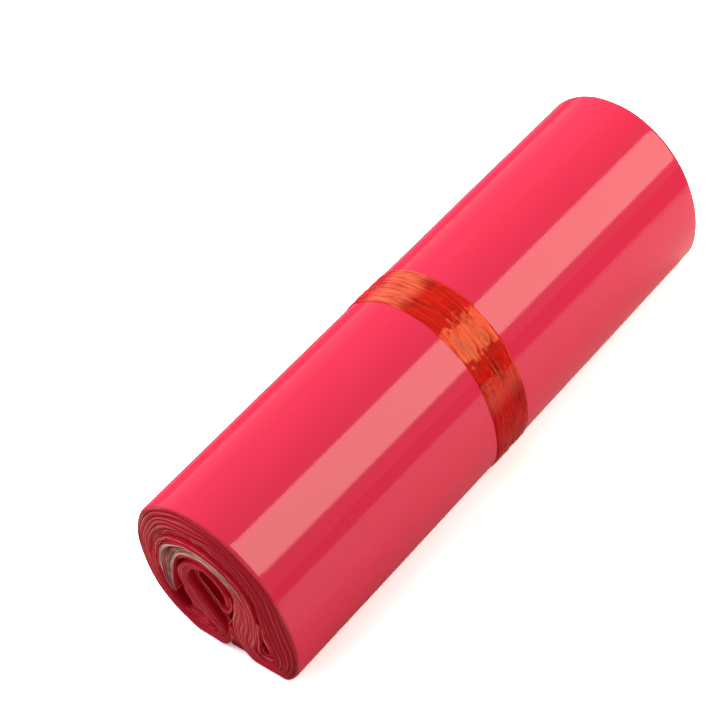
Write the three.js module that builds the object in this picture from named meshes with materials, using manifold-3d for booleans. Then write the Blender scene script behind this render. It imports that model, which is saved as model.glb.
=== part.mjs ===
// A roll of poly mailer bags: a stack of film bags curled into a double scroll and tied with tape.
// Millimetres, +Z up, X along the roll. The origin is on the floor under the middle of the roll.
// The section is drawn as seen from the end at -X: "across" runs to the right (-Y), "up" is +Z.

import * as THREE from 'three';
import { mergeVertices } from 'three/addons/utils/BufferGeometryUtils.js';
import ManifoldModule from 'manifold-3d';

const wasm = await ManifoldModule();
wasm.setup();

// Driving dimensions
const bagWidth = 280;        // one bag from side weld to side weld, and so the length of the roll
const rollWidth = 81.3;      // section, from side to side
const rollHeight = 82.3;     // section, from the floor to the crown
const crownThickness = 19.2; // the stack of bags where it lies loosest, over the crown
const linerThickness = 4.6;  // the strips that cover the bags' glue lines, pressed into one pack
const linerInset = 0.8;      // the strips end this far inside the widest bags
const tapeWidth = 22;
const tapeThickness = 0.6;
const tapeLead = 0.3;        // the tape lies this far beyond the middle of the roll
const lapLength = 48;        // the tape's free end, folded narrower and stuck down over the band
const lapWidth = 12;
const fitGap = 0.3;          // clearance between pieces that touch

// The section was drawn at these sizes and is stretched to the ones above
const drawnWidth = 81.3;
const drawnHeight = 82.3;
const drawnCrown = 19.2;
const drawnMiddle = -0.4;    // across, at the middle of the drawn width

// The route of the stack as [across, up, thickness], from its end in the core to its end with the liners
const coreCurl = [
  [3.0, 27.9, 3.6], [4.4, 35.4, 4.6], [1.8, 43, 5.4], [-5, 47.4, 6],
  [-12.8, 44, 6.6], [-17, 36.4, 10], [-13.4, 25.9, 12.6], [-8, 17.2, 12],
];
const leftLobe = [
  [-4.4, 9.6, 8.4], [-6.4, 3.8, 6.8], [-13.8, 1.6, 6.6], [-25, 5.8, 6.2], [-34.8, 17.4, 6.2],
];
const crown = [
  [-37.7, 33.4, 6.6], [-35, 51.4, 8.2], [-25, 66.4, 12.3], [-8, 73.2, 17.2],
  [10, 70.3, 19.2], [24.3, 57.2, 19.2], [30.2, 39.4, 19], [30.9, 23.4, 17.6],
];
const rightLobe = [
  [29.6, 11.4, 13.2], [24.8, 3.1, 8.4], [14.4, 2.2, 7.8], [8.4, 8.8, 9.4], [9.9, 19.4, 12.6],
];
const linerLeg = [
  [13.8, 32.4, 11], [13.5, 43.9, 8.2], [4.5, 53.4, 7.2], [-9.5, 56.4, 7.8],
  [-21.6, 49.8, 9], [-27.8, 37.4, 8.8], [-29.4, 26.4, 6], [-28.6, 17.9, 3],
];
const stations = [...coreCurl, ...leftLobe, ...crown, ...rightLobe, ...linerLeg];
const lastStation = stations.length - 1;
const leftLobeStart = coreCurl.length;
const rightLobeStart = leftLobeStart + leftLobe.length + crown.length;
const linerLegStart = rightLobeStart + rightLobe.length;
const stepsPerStation = 4;

// Bags in a hand-made stack never line up: each ply of the stack ends a little inside the longest one
const plyInsets = [
  { near: 0, far: 0 },
  { near: 1.3, far: 0.7 },
  { near: 0.5, far: 1.5 },
  { near: 1.7, far: 0.4 },
  { near: 0.8, far: 1.9 },
  { near: 4.5, far: 2.4 },
];
const plySlip = 0.12;        // along the route, in stations, from one ply's end to the next
const plyOverlap = 0.05;     // as a share of one ply, so that neighbouring plies join

// Part of the roll's length, from its near end at -X to its far end at +X
const nearEnd = -bagWidth / 2;
const farEnd = bagWidth / 2;

const route = new THREE.CatmullRomCurve3(
  stations.map(([across, up, thickness]) => new THREE.Vector3(
    (across - drawnMiddle) * rollWidth / drawnWidth,
    up * rollHeight / drawnHeight,
    thickness * crownThickness / drawnCrown,
  )),
  false,
  'centripetal',
);

// Middle, unit normal towards the outer face and thickness of the stack, at a place on its route
function stackAt(station) {
  const t = THREE.MathUtils.clamp(station / lastStation, 0, 1);
  const place = route.getPoint(t);
  const along = route.getTangent(t);
  const normal = new THREE.Vector2(-along.y, along.x).normalize();
  return { middle: new THREE.Vector2(place.x, place.y), normal, thickness: place.z };
}

// A point of the section: depth is 0 on the stack's outer face and 1 on its inner face.
// The lobes go flat where the soft roll rests on the floor.
function stackPoint(station, depth) {
  const { middle, normal, thickness } = stackAt(station);
  const outer = middle.clone().addScaledVector(normal, thickness / 2);
  const inner = middle.clone().addScaledVector(normal, -thickness / 2);
  outer.y = Math.max(outer.y, 0);
  inner.y = Math.max(inner.y, 0);
  return outer.lerp(inner, depth);
}

// Places on the route from start to end, with the same spacing everywhere
function placesBetween(start, end) {
  const count = Math.ceil((end - start) * stepsPerStation);
  return Array.from({ length: count + 1 }, (_, i) => THREE.MathUtils.lerp(start, end, i / count));
}

// Outline of a layer that follows the route between two faces, each given as a point of its place
function layerShape(start, end, outerFace, innerFace) {
  const places = placesBetween(start, end);
  const out = places.map(outerFace);
  const back = places.map(innerFace).reverse();
  return new THREE.Shape([...out, ...back]);
}

// Extrudes a section shape along the roll, from one X to another
const sectionToRoll = new THREE.Matrix4().makeBasis(
  new THREE.Vector3(0, -1, 0),
  new THREE.Vector3(0, 0, 1),
  new THREE.Vector3(-1, 0, 0),
);

function prism(shape, fromX, toX) {
  const geometry = new THREE.ExtrudeGeometry(shape, { depth: toX - fromX, bevelEnabled: false, curveSegments: 1 });
  return geometry.applyMatrix4(sectionToRoll).translate(toX, 0, 0);
}

// A closed three.js geometry as a solid that can be joined and cut
function solidOf(geometry) {
  const bare = geometry.clone();
  bare.deleteAttribute('normal');
  bare.deleteAttribute('uv');
  const merged = mergeVertices(bare, 1e-4);
  return new wasm.Manifold(new wasm.Mesh({
    numProp: 3,
    vertProperties: new Float32Array(merged.attributes.position.array),
    triVerts: new Uint32Array(merged.index.array),
  }));
}

function geometryOf(solid) {
  const { vertProperties, triVerts } = solid.getMesh();
  const geometry = new THREE.BufferGeometry();
  geometry.setAttribute('position', new THREE.BufferAttribute(vertProperties, 3));
  geometry.setIndex(new THREE.BufferAttribute(triVerts, 1));
  geometry.computeVertexNormals();
  return geometry;
}

// The release liners: one pack of strips in the stack's last leg, thin at first and then full
const linerStart = linerLegStart + 0.6;
const linerEnd = lastStation - 0.5;
const linerSkin = 1;         // least film on either side of the pack
const linerDepth = 0.5;      // the pack's middle within the stack

function linerHalfThickness(station) {
  const { thickness } = stackAt(station);
  const room = thickness / 2 - linerSkin - fitGap;
  const fill = THREE.MathUtils.smoothstep(station, linerStart - 0.5, linerStart + 1.5);
  return Math.min(linerThickness / 2, room) * fill;
}

function linerFace(station, side, margin) {
  const { normal } = stackAt(station);
  const middle = stackPoint(station, linerDepth);
  return middle.addScaledVector(normal, side * (linerHalfThickness(station) + margin));
}

function linerLayer(margin, start, end) {
  return layerShape(
    start,
    end,
    (station) => linerFace(station, 1, margin),
    (station) => linerFace(station, -1, margin),
  );
}

function makeReleaseLiners() {
  return prism(linerLayer(0, linerStart, linerEnd), nearEnd + linerInset, farEnd - linerInset);
}

// Clear space for the liners, open at the stack's end and at both ends of the roll
function linerPocket() {
  const slack = 0.15;
  const shape = linerLayer(fitGap, linerStart - slack, lastStation);
  return solidOf(prism(shape, nearEnd - 1, farEnd + 1));
}

// The outline that the tape follows: the roll's outer face from lobe to lobe, straight over the cleft.
// The tape lies proud by this much of the film's own face, and level with it on the floor.
function tapeOutline(proud, floor) {
  const outline = placesBetween(leftLobeStart + 1.5, rightLobeStart + 2).map((station) => {
    const { normal } = stackAt(station);
    const point = stackPoint(station, 0).addScaledVector(normal, proud);
    point.y = Math.max(point.y, floor);
    return point;
  });
  return outline.filter((point, i) => {
    const before = outline[(i + outline.length - 1) % outline.length];
    const after = outline[(i + 1) % outline.length];
    return point.y > floor || before.y > floor || after.y > floor;
  });
}

function ringShape(outer, inner) {
  const shape = new THREE.Shape(outer);
  shape.holes.push(new THREE.Path([...inner].reverse()));
  return shape;
}

const tapeNear = tapeLead - tapeWidth / 2;
const tapeFar = tapeLead + tapeWidth / 2;
const tapeBite = tapeThickness / 2;

// The soft roll gives way under the tape all round
function tapeSeat() {
  const away = 4;
  const outer = tapeOutline(away, -away);
  const inner = tapeOutline(-tapeBite - fitGap, tapeThickness + fitGap);
  return solidOf(prism(ringShape(outer, inner), tapeNear - fitGap, tapeFar + fitGap));
}

function makeTieTape() {
  const band = ringShape(tapeOutline(tapeThickness - tapeBite, 0), tapeOutline(-tapeBite, tapeThickness));
  const ring = solidOf(prism(band, tapeNear, tapeFar));
  return geometryOf(ring.add(tapeLap()));
}

// The free end of the tape, one thickness further out, down the right side of the roll
function tapeLap() {
  const lapStart = leftLobeStart + leftLobe.length + 5.3;
  const lapEnd = lapStart + stationsInRun(lapStart, lapLength);
  const face = (height) => (station) => {
    const { normal } = stackAt(station);
    return stackPoint(station, 0).addScaledVector(normal, height);
  };
  const sunk = tapeThickness / 2;
  const shape = layerShape(lapStart, lapEnd, face(2 * tapeThickness - tapeBite), face(tapeThickness - tapeBite - sunk));
  return solidOf(prism(shape, tapeNear, tapeNear + lapWidth));
}

// How many stations of the route it takes for the roll's outer face to run a length
function stationsInRun(start, length) {
  const step = 0.05;
  let run = 0;
  let station = start;
  while (run < length && station < rightLobeStart + 1) {
    run += stackPoint(station, 0).distanceTo(stackPoint(station + step, 0));
    station += step;
  }
  return station - start;
}

// The stack of bags: plies of different lengths lying face to face, one solid from core to liners
function makeBagRoll() {
  const plyCount = plyInsets.length;
  const plies = plyInsets.map(({ near, far }, i) => {
    const top = Math.max(i - plyOverlap, 0) / plyCount;
    const bottom = Math.min(i + 1 + plyOverlap, plyCount) / plyCount;
    const start = plySlip * i;
    const end = lastStation - plySlip * (plyCount - 1 - i);
    const shape = layerShape(
      start,
      end,
      (station) => stackPoint(station, top),
      (station) => stackPoint(station, bottom),
    );
    return solidOf(prism(shape, nearEnd + near, farEnd - far));
  });
  return geometryOf(wasm.Manifold.union(plies).subtract(linerPocket()).subtract(tapeSeat()));
}

// Finishes
const film = new THREE.MeshStandardMaterial({ color: 0xee4560, roughness: 0.18, metalness: 0 });
const liner = new THREE.MeshStandardMaterial({ color: 0xcdb9ae, roughness: 0.6, metalness: 0 });
const tape = new THREE.MeshStandardMaterial({ color: 0xd8391f, roughness: 0.22, metalness: 0 });

function namedMesh(name, geometry, material) {
  const mesh = new THREE.Mesh(geometry, material);
  mesh.name = name;
  return mesh;
}

const mailerRoll = new THREE.Group();
mailerRoll.add(namedMesh('bag_roll', makeBagRoll(), film));
mailerRoll.add(namedMesh('release_liners', makeReleaseLiners(), liner));
mailerRoll.add(namedMesh('tie_tape', makeTieTape(), tape));

export default mailerRoll;
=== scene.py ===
"""A roll of film mailing bags, tied with clear tape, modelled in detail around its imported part.

The section is drawn in millimetres as seen from the near end (at -X): "across" runs to the right (-Y)
and "up" is +Z. Places along the stack's route are counted in stations, as in the part's source.
"""

from __future__ import annotations

import logging
import math
from dataclasses import dataclass
from enum import Enum
from typing import Any, Callable, Sequence

import bmesh
import bpy
import numpy as np
from mathutils import Matrix, Vector, noise

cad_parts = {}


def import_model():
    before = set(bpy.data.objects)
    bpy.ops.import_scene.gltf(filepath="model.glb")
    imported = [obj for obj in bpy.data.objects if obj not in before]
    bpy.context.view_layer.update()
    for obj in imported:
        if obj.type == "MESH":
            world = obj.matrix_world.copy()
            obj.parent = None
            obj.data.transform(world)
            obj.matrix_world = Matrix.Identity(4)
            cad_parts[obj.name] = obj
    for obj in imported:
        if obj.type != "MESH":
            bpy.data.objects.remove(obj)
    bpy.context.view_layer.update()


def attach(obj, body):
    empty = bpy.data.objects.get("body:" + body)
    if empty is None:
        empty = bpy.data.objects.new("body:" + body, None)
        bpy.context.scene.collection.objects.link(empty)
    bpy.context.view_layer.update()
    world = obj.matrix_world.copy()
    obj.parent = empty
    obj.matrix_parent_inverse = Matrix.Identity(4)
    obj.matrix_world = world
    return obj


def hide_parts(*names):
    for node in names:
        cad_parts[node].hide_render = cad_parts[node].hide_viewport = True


LOG = logging.getLogger("mailer_roll")
MM = 0.001
# what the meshes' map and tone are called, and the fold, in radians, from which an edge is sharp
SECTION_MAP = "Section"
TONE = "tone"
SHARP_FOLD = 1.0

Triple = tuple[float, float, float]
Colour = Triple
Stops = tuple[tuple[float, Colour], ...]

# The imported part's own section, in millimetres: [across, up, thickness] at each station of the route
CORE_CURL = (
    (3.0, 27.9, 3.6), (4.4, 35.4, 4.6), (1.8, 43.0, 5.4), (-5.0, 47.4, 6.0),
    (-12.8, 44.0, 6.6), (-17.0, 36.4, 10.0), (-13.4, 25.9, 12.6), (-8.0, 17.2, 12.0),
)
LEFT_LOBE = (
    (-4.4, 9.6, 8.4), (-6.4, 3.8, 6.8), (-13.8, 1.6, 6.6), (-25.0, 5.8, 6.2), (-34.8, 17.4, 6.2),
)
CROWN = (
    (-37.7, 33.4, 6.6), (-35.0, 51.4, 8.2), (-25.0, 66.4, 12.3), (-8.0, 73.2, 17.2),
    (10.0, 70.3, 19.2), (24.3, 57.2, 19.2), (30.2, 39.4, 19.0), (30.9, 23.4, 17.6),
)
RIGHT_LOBE = (
    (29.6, 11.4, 13.2), (24.8, 3.1, 8.4), (14.4, 2.2, 7.8), (8.4, 8.8, 9.4), (9.9, 19.4, 12.6),
)
LINER_LEG = (
    (13.8, 32.4, 11.0), (13.5, 43.9, 8.2), (4.5, 53.4, 7.2), (-9.5, 56.4, 7.8),
    (-21.6, 49.8, 9.0), (-27.8, 37.4, 8.8), (-29.4, 26.4, 6.0), (-28.6, 17.9, 3.0),
)
DRAWN_MIDDLE = -0.4
ROLL_LENGTH = 280.0
NEAR_END = -ROLL_LENGTH / 2
FAR_END = ROLL_LENGTH / 2
# how far apart the sheets' cut edges lie on their map, and where each kind of sheet starts there
BAND_STEP = 3.0
SLACK_BAND = 400.0
BACKING_BAND = 690.0
STRIP_BAND = 700.0


class Slot(Enum):
    """The record's material slots."""

    FILM = "film"
    LINER = "liner"
    TAPE = "tape"


def smooth_share(value: np.ndarray | float, low: float, high: float) -> np.ndarray | float:
    """How far a value lies between two limits, eased at both.

    Args:
        value: The value or values.
        low: The limit where the share is 0.
        high: The limit where it is 1.

    Returns:
        The share, from 0 to 1.
    """
    share = np.clip((value - low) / (high - low), 0.0, 1.0)
    return share * share * (3.0 - 2.0 * share)


def hump(value: np.ndarray, low: float, high: float, ease: float) -> np.ndarray:
    """A plateau of 1 between two limits, eased to 0 outside them over a distance.

    Args:
        value: The values.
        low: Where the plateau starts.
        high: Where it ends.
        ease: The width of each flank.

    Returns:
        The height of the plateau at each value.
    """
    return smooth_share(value, low - ease, low) * (1.0 - smooth_share(value, high, high + ease))


def run_along(points: np.ndarray) -> np.ndarray:
    """How far along a line each of its points lies."""
    return np.concatenate([[0.0], np.cumsum(np.linalg.norm(np.diff(points, axis=0), axis=1))])


def respaced(points: np.ndarray, run: np.ndarray, steps: np.ndarray) -> np.ndarray:
    """The points of a line at other distances along it."""
    return np.stack([np.interp(steps, run, points[:, k]) for k in (0, 1)], -1)


def unit_normals(along: np.ndarray) -> np.ndarray:
    """The unit normals, to the left of travel, of directions along a line."""
    normals = np.stack([-along[:, 1], along[:, 0]], -1)
    return normals / np.linalg.norm(normals, axis=1)[:, None]


class Drift:
    """A smooth wandering line of about -1 to 1, made of a few waves with seeded phases."""

    def __init__(self, rng: np.random.Generator, shortest: float, longest: float, waves: int = 5) -> None:
        """Draws the waves.

        Args:
            rng: Where the random numbers come from.
            shortest: The shortest wavelength.
            longest: The longest wavelength.
            waves: How many waves there are.
        """
        self.lengths = np.exp(rng.uniform(math.log(shortest), math.log(longest), waves))
        self.phases = rng.uniform(0.0, math.tau, waves)
        self.heights = rng.uniform(0.5, 1.0, waves) / math.sqrt(waves)

    def __call__(self, run: np.ndarray) -> np.ndarray:
        """The line's height at each place of a run."""
        waves = np.sin(np.asarray(run)[..., None] * math.tau / self.lengths + self.phases)
        return (waves * self.heights).sum(-1)


@dataclass(frozen=True)
class Route:
    """The route of the stack through the roll's section, a centripetal spline through its stations."""

    stations: tuple[Triple, ...] = CORE_CURL + LEFT_LOBE + CROWN + RIGHT_LOBE + LINER_LEG
    table_step: float = 0.02

    @property
    def last(self) -> float:
        """The number of the last station."""
        return float(len(self.stations) - 1)

    def stack_at(self, places: np.ndarray) -> tuple[np.ndarray, np.ndarray, np.ndarray]:
        """The stack at places on its route.

        Args:
            places: Places in stations.

        Returns:
            Its middle, its unit normal towards the outer face, and its thickness.
        """
        points = np.array(self.stations) - (DRAWN_MIDDLE, 0.0, 0.0)
        points = np.vstack([2 * points[0] - points[1], points, 2 * points[-1] - points[-2]])
        places = np.clip(np.asarray(places, float), 0.0, self.last)
        first = np.minimum(np.floor(places).astype(int), int(self.last) - 1)
        share = (places - first)[:, None]
        before, start, end, after = (points[first + k] for k in range(4))
        into, over, out = (
            (((b - a) ** 2).sum(1) ** 0.25)[:, None]
            for a, b in ((before, start), (start, end), (end, after))
        )
        leaving = (start - before) / into - (end - before) / (into + over) + (end - start) / over
        arriving = (end - start) / over - (after - start) / (over + out) + (after - end) / out
        leaving, arriving = leaving * over, arriving * over
        square = -3 * start + 3 * end - 2 * leaving - arriving
        cube = 2 * start - 2 * end + leaving + arriving
        spot = start + share * (leaving + share * (square + share * cube))
        along = leaving + share * (2 * square + 3 * share * cube)
        return spot[:, :2], unit_normals(along), spot[:, 2]

    def face(self, places: np.ndarray, depth: np.ndarray | float) -> np.ndarray:
        """Points of the section, flattened where the soft roll rests on the floor.

        Args:
            places: Places in stations.
            depth: From 0 on the stack's outer face to 1 on its inner face.

        Returns:
            One (across, up) for each place.
        """
        middle, normal, thickness = self.stack_at(places)
        half = normal * thickness[:, None] / 2
        outer, inner = middle + half, middle - half
        outer[:, 1] = np.maximum(outer[:, 1], 0.0)
        inner[:, 1] = np.maximum(inner[:, 1], 0.0)
        share = np.broadcast_to(np.asarray(depth, float), places.shape)[:, None]
        return outer * (1 - share) + inner * share

    def evenly(self, start: float, end: float, step: float) -> tuple[np.ndarray, np.ndarray]:
        """Places from start to end, evenly spaced along the stack's middle.

        Args:
            start: The first place, in stations.
            end: The last place.
            step: About how far apart they are, in millimetres.

        Returns:
            The places in stations, and how far along the whole route each one lies.
        """
        table = np.arange(0.0, self.last + self.table_step / 2, self.table_step)
        middle, _, _ = self.stack_at(table)
        run = run_along(middle)
        low, high = np.interp([start, end], table, run)
        runs = np.linspace(low, high, max(2, round((high - low) / step) + 1))
        return np.interp(runs, run, table), runs


def row_point(across: float, up: float, along: float) -> Vector:
    """A place of the roll in the row frame, in metres, from section and length in millimetres."""
    return Vector((along * MM, -across * MM, up * MM))


# Shader maths


def feed(tree: bpy.types.NodeTree, socket: bpy.types.NodeSocket, value: Any) -> None:
    """Fills a node's input.

    Args:
        tree: The node tree.
        socket: The input.
        value: A Signal or an output socket, which is linked, or a plain value.
    """
    if isinstance(value, Signal):
        value = value.socket
    if isinstance(value, bpy.types.NodeSocket):
        tree.links.new(value, socket)
    else:
        socket.default_value = value


class Signal:
    """A number that comes out of a node, for shader maths written as an expression."""

    def __init__(self, tree: bpy.types.NodeTree, socket: bpy.types.NodeSocket) -> None:
        """Wraps an output socket of a tree."""
        self.tree = tree
        self.socket = socket

    def maths(self, operation: str, *values: Signal | float) -> Signal:
        """A Math node on these values.

        Args:
            operation: The Math node's operation.
            values: Its inputs in order.

        Returns:
            The node's result.
        """
        node = self.tree.nodes.new("ShaderNodeMath")
        node.operation = operation
        for socket, value in zip(node.inputs, values):
            feed(self.tree, socket, value)
        return Signal(self.tree, node.outputs[0])

    def __add__(self, other: Signal | float) -> Signal:
        """The sum."""
        return self.maths("ADD", self, other)

    def __radd__(self, other: float) -> Signal:
        """The sum, with a plain number first."""
        return self.maths("ADD", other, self)

    def __sub__(self, other: Signal | float) -> Signal:
        """The difference."""
        return self.maths("SUBTRACT", self, other)

    def __rsub__(self, other: float) -> Signal:
        """The difference, with a plain number first."""
        return self.maths("SUBTRACT", other, self)

    def __mul__(self, other: Signal | float) -> Signal:
        """The product."""
        return self.maths("MULTIPLY", self, other)

    def __rmul__(self, other: float) -> Signal:
        """The product, with a plain number first."""
        return self.maths("MULTIPLY", other, self)

    def __abs__(self) -> Signal:
        """This number without its sign."""
        return self.maths("ABSOLUTE", self)

    def clamped(self) -> Signal:
        """This number, kept from 0 to 1."""
        return self.maths("MINIMUM", self.maths("MAXIMUM", self, 0.0), 1.0)


class Sketch:
    """A node tree under construction."""

    def __init__(self, tree: bpy.types.NodeTree) -> None:
        """Takes over a tree and empties it."""
        self.tree = tree
        tree.nodes.clear()

    def add(
        self, kind: str, settings: dict[str, Any] | None = None, *first: Any, **named: Any
    ) -> bpy.types.Node:
        """A new node. Its inputs take a Signal, a socket or a plain value each.

        Args:
            kind: The node's type.
            settings: Its own properties, and "stops" for a ramp.
            first: Its first inputs in order.
            named: Other inputs by name, with _ for a space.

        Returns:
            The node.
        """
        node = self.tree.nodes.new(kind)
        for name, value in (settings or {}).items():
            if name == "stops":
                self.set_stops(node.color_ramp, value)
            else:
                setattr(node, name, value)
        sockets = [socket for socket in node.inputs if socket.enabled]
        for socket, value in zip(sockets, first):
            feed(self.tree, socket, value)
        for name, value in named.items():
            wanted = name.replace("_", " ")
            feed(self.tree, next(socket for socket in sockets if socket.name == wanted), value)
        return node

    @staticmethod
    def set_stops(ramp: bpy.types.ColorRamp, stops: Stops) -> None:
        """Gives a ramp its stops.

        Args:
            ramp: The ramp.
            stops: Each stop's position and colour.
        """
        while len(ramp.elements) < len(stops):
            ramp.elements.new(1.0)
        for element, (position, colour) in zip(ramp.elements, stops):
            element.position = position
            element.color = (*colour, 1.0)

    def signal(self, node: bpy.types.Node, output: str) -> Signal:
        """A node's output as a number for expressions."""
        return Signal(self.tree, node.outputs[output])

    def place(self) -> bpy.types.NodeSocket:
        """The object's own coordinates, in metres."""
        return self.add("ShaderNodeTexCoord").outputs["Object"]

    def section(self) -> bpy.types.NodeSocket:
        """The map of the run along the route against depth or length, in metres."""
        return self.add("ShaderNodeUVMap", {"uv_map": SECTION_MAP}).outputs["UV"]

    def axes(self, place: bpy.types.NodeSocket, wanted: str) -> list[Signal]:
        """The coordinates of a place along the wanted axes, such as "XZ"."""
        parts = self.add("ShaderNodeSeparateXYZ", None, place)
        return [self.signal(parts, axis) for axis in wanted]

    def towards(self, place: bpy.types.NodeSocket, direction: Sequence[float]) -> Signal:
        """How far a place lies in a direction."""
        return self.signal(
            self.add("ShaderNodeVectorMath", {"operation": "DOT_PRODUCT"}, place, direction), "Value"
        )

    def speckle(self, place: bpy.types.NodeSocket, scale: Triple, detail: float) -> Signal:
        """Noise of about 0 to 1 at a place.

        Args:
            place: The coordinates.
            scale: The noise's scale along each axis.
            detail: How many finer layers it has.

        Returns:
            The noise.
        """
        scaled = self.add("ShaderNodeMapping", Vector=place, Scale=scale).outputs["Vector"]
        return self.signal(self.add("ShaderNodeTexNoise", Vector=scaled, Scale=1.0, Detail=detail), "Fac")

    def ramp(self, share: Signal, stops: Stops) -> bpy.types.NodeSocket:
        """The colour of a ramp at a share of its length."""
        return self.add("ShaderNodeValToRGB", {"stops": stops}, share).outputs["Color"]

    def blended(self, share: Signal, low: Any, high: Any) -> bpy.types.NodeSocket:
        """A colour between two others, each given as a socket or as red, green and blue.

        Args:
            share: How much of the second colour there is.
            low: The first colour.
            high: The second colour.

        Returns:
            The mixed colour's socket.
        """
        colours = ((*colour, 1.0) if isinstance(colour, tuple) else colour for colour in (low, high))
        return self.add("ShaderNodeMix", {"data_type": "RGBA"}, share, *colours).outputs[2]

    def bumped(self, height: Signal, strength: float, distance: float) -> bpy.types.NodeSocket:
        """A normal from a height.

        Args:
            height: The height, of about 0 to 1.
            strength: The bump's strength.
            distance: The height's full size, in metres.

        Returns:
            The normal.
        """
        node = self.add("ShaderNodeBump", Height=height, Strength=strength, Distance=distance)
        return node.outputs["Normal"]

    def principled(self, **named: Any) -> bpy.types.Node:
        """A surface shader with these inputs."""
        return self.add("ShaderNodeBsdfPrincipled", None, **named)


# Finishes


@dataclass(frozen=True)
class Finish:
    """A surface's look, which makes its own material."""

    name: str

    def shader(self, sketch: Sketch) -> bpy.types.Node:
        """Draws the surface's shader.

        Args:
            sketch: The material's node tree.

        Returns:
            The shader.
        """
        raise NotImplementedError

    def material(self) -> bpy.types.Material:
        """Makes the material.

        Returns:
            The material.
        """
        made = bpy.data.materials.new(self.name)
        made.use_nodes = True
        sketch = Sketch(made.node_tree)
        sketch.add("ShaderNodeOutputMaterial", None, self.shader(sketch).outputs[0])
        return made


@dataclass(frozen=True)
class FilmFinish(Finish):
    """Smooth glossy polyethylene film, with painted shade at the rim where it is rolled in."""

    name: str = "glossy_film"
    colour: Colour = (0.865, 0.027, 0.088)
    deeper: Colour = (0.82, 0.022, 0.076)
    # painted shade: the darker colour of the rolled-in rim
    rolled: Colour = (0.50, 0.010, 0.042)
    rim: float = 0.1389
    rim_sharpness: float = 900.0
    roughness: float = 0.075
    shine: float = 0.54

    def shader(self, sketch: Sketch) -> bpy.types.Node:
        """Draws faint clouds in the colour, and streaks round the roll in the gloss.

        Args:
            sketch: The material's node tree.

        Returns:
            The shader.
        """
        place = sketch.place()
        cloud = sketch.speckle(place, (5.0, 14.0, 14.0), 1.0)
        streak = sketch.speckle(place, (420.0, 9.0, 9.0), 2.0)
        pimple = sketch.speckle(place, (260.0, 260.0, 260.0), 1.0)
        (along,) = sketch.axes(place, "X")
        # painted shade over the last 1.1 mm of each end, where the film is rolled in
        rolled = ((abs(along) - self.rim) * self.rim_sharpness).clamped()
        colour = sketch.blended(cloud, self.colour, self.deeper)
        return sketch.principled(
            Base_Color=sketch.blended(rolled, colour, self.rolled),
            Roughness=streak * 0.05 + self.roughness,
            Specular_IOR_Level=self.shine,
            Normal=sketch.bumped(streak * 0.55 + pimple * 0.45, 0.05, 0.0002),
        )


@dataclass(frozen=True)
class InnerFilmFinish(Finish):
    """The same film between the layers, darkened by painted shade where less and less light comes in from
    the roll's ends.
    """

    name: str = "film_between_layers"
    colour: Colour = (0.80, 0.022, 0.07)
    # painted shade: the colour deep between the layers
    deep_painted_shade: Colour = (0.52, 0.003, 0.011)
    rim: float = 0.1394
    deep: float = 0.1366
    roughness: float = 0.34
    shine: float = 0.2

    def shader(self, sketch: Sketch) -> bpy.types.Node:
        """Draws the film's colour at the ends, and a darker one further in, which is painted shade.

        Args:
            sketch: The material's node tree.

        Returns:
            The shader.
        """
        place = sketch.place()
        (along,) = sketch.axes(place, "X")
        streak = sketch.speckle(place, (40.0, 260.0, 260.0), 2.0)
        # painted shade, stronger with depth from the roll's end
        depth = (self.rim - abs(along)) * (1.0 / (self.rim - self.deep))
        share = (depth + streak * 0.3 - 0.15).clamped()
        return sketch.principled(
            Base_Color=sketch.blended(share, self.colour, self.deep_painted_shade),
            Roughness=streak * 0.1 + self.roughness,
            Specular_IOR_Level=self.shine,
            Normal=sketch.bumped(streak, 0.25, 0.0004),
        )


@dataclass(frozen=True)
class CutEdgeFinish(Finish):
    """The cut and welded sides of many thin sheets, seen on edge as dusty streaks."""

    name: str = "cut_film_edges"
    stops: Stops = (
        (0.0, (0.22, 0.001, 0.004)),
        (0.3, (0.44, 0.008, 0.020)),
        (0.6, (0.61, 0.066, 0.073)),
        (1.0, (0.80, 0.23, 0.225)),
    )
    streak_share: float = 0.5
    patch_share: float = 0.36
    roughness: float = 0.42
    shine: float = 0.35

    def shader(self, sketch: Sketch) -> bpy.types.Node:
        """Draws each sheet's tone, streaked along the sheet.

        Args:
            sketch: The material's node tree.

        Returns:
            The shader.
        """
        tone = sketch.signal(sketch.add("ShaderNodeAttribute", {"attribute_name": TONE}), "Fac")
        run = sketch.section()
        streak = sketch.speckle(run, (110.0, 5200.0, 1.0), 3.0)
        patch = sketch.speckle(run, (300.0, 900.0, 1.0), 2.0)
        share = tone + (streak - 0.5) * self.streak_share + (patch - 0.5) * self.patch_share
        return sketch.principled(
            Base_Color=sketch.ramp(share, self.stops),
            Roughness=streak * 0.2 + self.roughness,
            Specular_IOR_Level=self.shine,
            Normal=sketch.bumped(streak, 0.4, 0.0003),
        )


LINER_EDGES = CutEdgeFinish(
    name="release_strip_edges",
    stops=(
        (0.0, (0.30, 0.05, 0.045)),
        (0.3, (0.56, 0.25, 0.195)),
        (0.6, (0.82, 0.52, 0.43)),
        (1.0, (0.97, 0.76, 0.68)),
    ),
    streak_share=0.55,
    patch_share=0.55,
)
# painted shade: the strips' broad faces inside the roll are coloured darker and redder than their edges
SHADED_LINER_FACES = CutEdgeFinish(
    name="release_strip_faces_painted_shade",
    stops=((0.0, (0.32, 0.05, 0.04)), (0.6, (0.55, 0.22, 0.17)), (1.0, (0.72, 0.40, 0.32))),
)


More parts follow.
